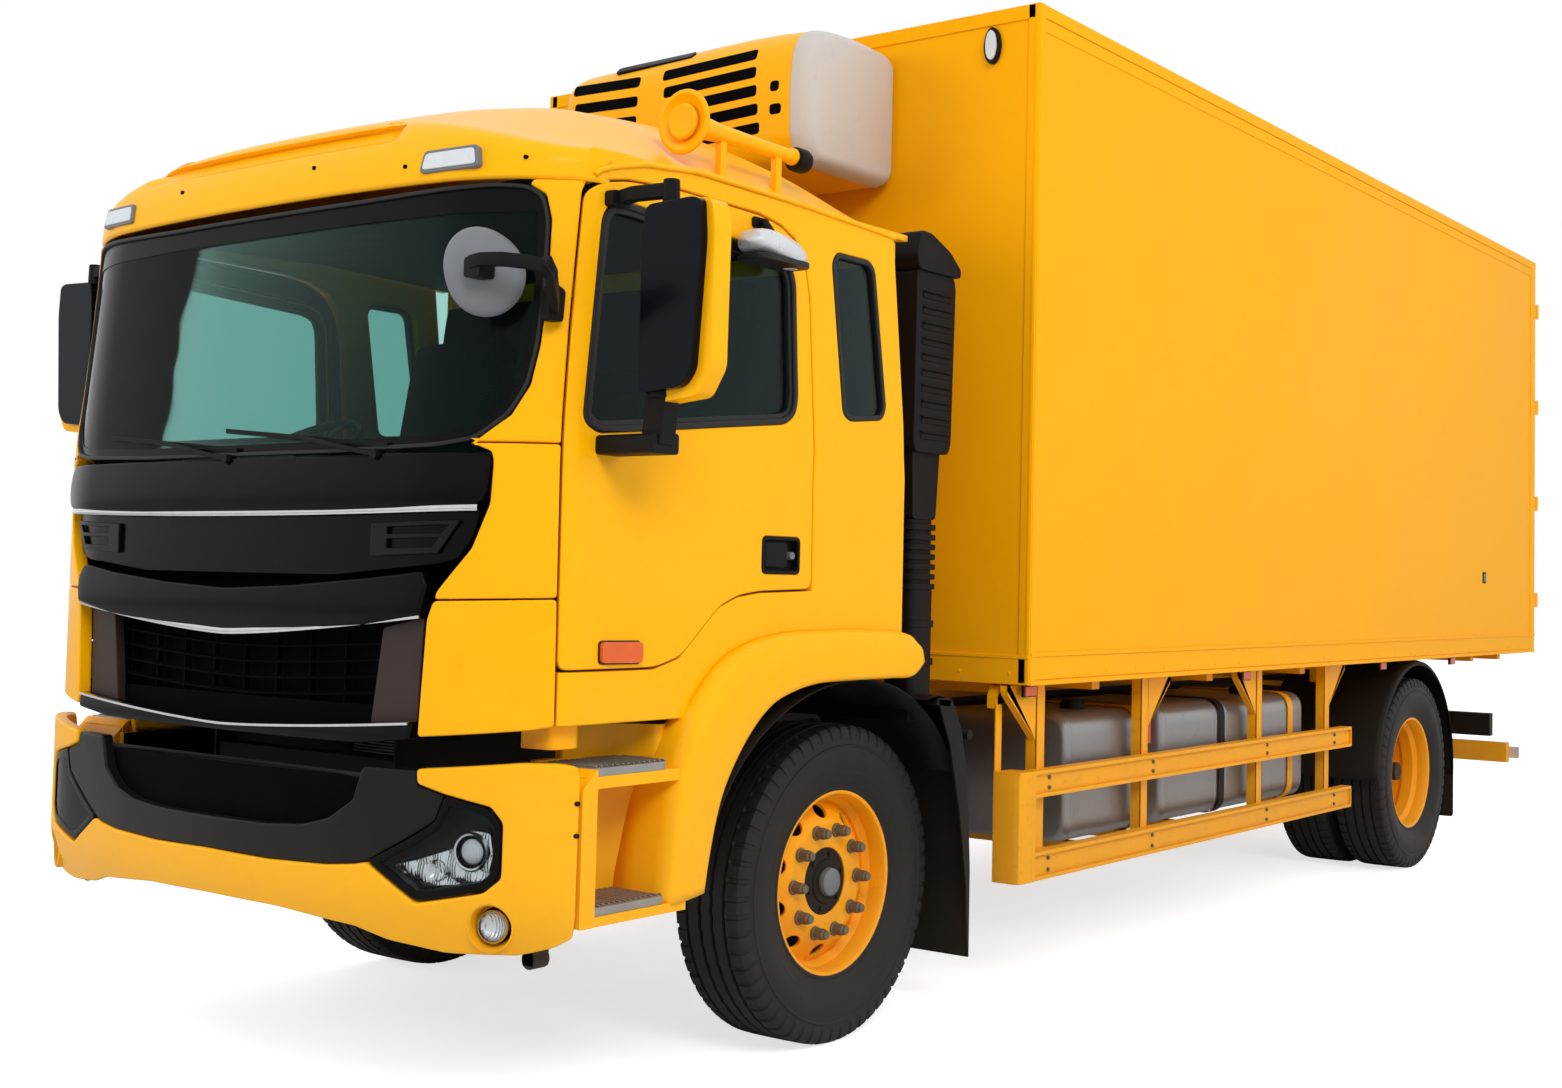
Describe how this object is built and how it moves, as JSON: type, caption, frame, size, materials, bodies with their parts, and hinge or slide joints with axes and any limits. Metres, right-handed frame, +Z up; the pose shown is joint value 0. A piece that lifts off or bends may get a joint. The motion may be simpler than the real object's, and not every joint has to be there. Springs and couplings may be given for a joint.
{
  "type": "refrigerated truck",
  "caption": "Rigid refrigerated truck with a tilting cab, an insulated box body with rear doors, a front-mounted cooling unit, side guards and steered front wheels.",
  "frame": {"origin": "on the ground under the centre of the overall box", "axes": "+Z up, -Y towards the front of the truck, +X to its left side"},
  "size_m": [3.06, 8.667, 3.59],
  "materials": {
    "chassis_steel": "satin",
    "yellow_paint": "gloss",
    "black_plastic": "matte",
    "black_gloss": "gloss",
    "grey_plastic": "matte",
    "alloy": "satin",
    "engine_grey": "matte",
    "lamp": "gloss",
    "tinted_glass": "clear",
    "seat_fabric": "woven",
    "tyre": "matte"
  },
  "bodies": {
    "chassis": {"frame_rails": "chassis_steel", "cross_members": "chassis_steel", "tank_brackets": "chassis_steel", "front_axle": "chassis_steel", "rear_axle": "chassis_steel", "propeller_shaft": "chassis_steel", "leaf_springs": "chassis_steel", "engine_block": "engine_grey", "fuel_tanks": "alloy", "battery_and_air_tanks": "black_plastic", "silencer": "alloy", "air_intake": "black_plastic", "side_guards": "yellow_paint", "front_bumper": "yellow_paint", "bumper_centre": "black_gloss", "headlamps": "lamp", "step_fenders": "yellow_paint", "mudguards": "black_plastic", "underrun_bar": "yellow_paint", "box_floor": "yellow_paint", "box_sides": "yellow_paint", "box_front_wall": "yellow_paint", "box_roof": "yellow_paint", "box_rear_frame": "yellow_paint", "fridge_unit": "yellow_paint"},
    "cargo_door_left": {"cargo_door_left": "yellow_paint"},
    "cargo_door_right": {"cargo_door_right": "yellow_paint"},
    "cab": {"cab_floor": "chassis_steel", "cab_rear_wall": "yellow_paint", "cab_sides": "yellow_paint", "cab_roof": "yellow_paint", "cab_front_panel": "yellow_paint", "cab_glass": "tinted_glass", "dashboard": "grey_plastic", "seats": "seat_fabric", "front_mirror": "grey_plastic", "air_horn": "yellow_paint"},
    "front_lid": {"front_grille": "black_gloss"},
    "cab_door_left": {"cab_door_left": "yellow_paint", "door_glass_left": "tinted_glass", "mirror_left": "black_plastic"},
    "cab_door_right": {"cab_door_right": "yellow_paint", "door_glass_right": "tinted_glass", "mirror_right": "black_plastic"},
    "steering_knuckle_left": {"steering_knuckle_left": "chassis_steel"},
    "steering_knuckle_right": {"steering_knuckle_right": "chassis_steel"},
    "front_wheel_left": {"front_tyre_left": "tyre", "front_rim_left": "yellow_paint"},
    "front_wheel_right": {"front_tyre_right": "tyre", "front_rim_right": "yellow_paint"},
    "rear_wheel_left": {"rear_tyres_left": "tyre", "rear_rims_left": "yellow_paint"},
    "rear_wheel_right": {"rear_tyres_right": "tyre", "rear_rims_right": "yellow_paint"}
  },
  "joints": [
    {"name": "cab_tilt", "type": "hinge", "parent": "chassis", "child": "cab", "pos_m": [0, -3.9635, 1.2], "axis": [1, 0, 0], "range_deg": [0, 45]},
    {"name": "front_lid_hinge", "type": "hinge", "parent": "cab", "child": "front_lid", "pos_m": [0, -4.2785, 1.797], "axis": [-1, 0, 0], "range_deg": [0, 75]},
    {"name": "cab_door_left_hinge", "type": "hinge", "parent": "cab", "child": "cab_door_left", "pos_m": [1.155, -4.0655, 1.8], "axis": [0, 0, -1], "range_deg": [0, 70]},
    {"name": "cab_door_right_hinge", "type": "hinge", "parent": "cab", "child": "cab_door_right", "pos_m": [-1.155, -4.0655, 1.8], "axis": [0, 0, 1], "range_deg": [0, 70]},
    {"name": "cargo_door_left_hinge", "type": "hinge", "parent": "chassis", "child": "cargo_door_left", "pos_m": [1.25, 4.3215, 2.4], "axis": [0, 0, -1], "range_deg": [0, 265]},
    {"name": "cargo_door_right_hinge", "type": "hinge", "parent": "chassis", "child": "cargo_door_right", "pos_m": [-1.25, 4.3215, 2.4], "axis": [0, 0, 1], "range_deg": [0, 265]},
    {"name": "steering_left", "type": "hinge", "parent": "chassis", "child": "steering_knuckle_left", "pos_m": [0.74, -2.7135, 0.51], "axis": [0, 0, 1], "range_deg": [-35, 35]},
    {"name": "steering_right", "type": "hinge", "parent": "chassis", "child": "steering_knuckle_right", "pos_m": [-0.74, -2.7135, 0.51], "axis": [0, 0, 1], "range_deg": [-35, 35]},
    {"name": "front_wheel_left_spin", "type": "hinge", "parent": "steering_knuckle_left", "child": "front_wheel_left", "pos_m": [0.925, -2.7135, 0.51], "axis": [1, 0, 0], "continuous": true},
    {"name": "front_wheel_right_spin", "type": "hinge", "parent": "steering_knuckle_right", "child": "front_wheel_right", "pos_m": [-0.925, -2.7135, 0.51], "axis": [1, 0, 0], "continuous": true},
    {"name": "rear_wheel_left_spin", "type": "hinge", "parent": "chassis", "child": "rear_wheel_left", "pos_m": [0.9, 2.2865, 0.51], "axis": [1, 0, 0], "continuous": true},
    {"name": "rear_wheel_right_spin", "type": "hinge", "parent": "chassis", "child": "rear_wheel_right", "pos_m": [-0.9, 2.2865, 0.51], "axis": [1, 0, 0], "continuous": true}
  ],
  "couplings": [
    {"joint": "steering_right", "follows": "steering_left", "ratio": 1}
  ]
}
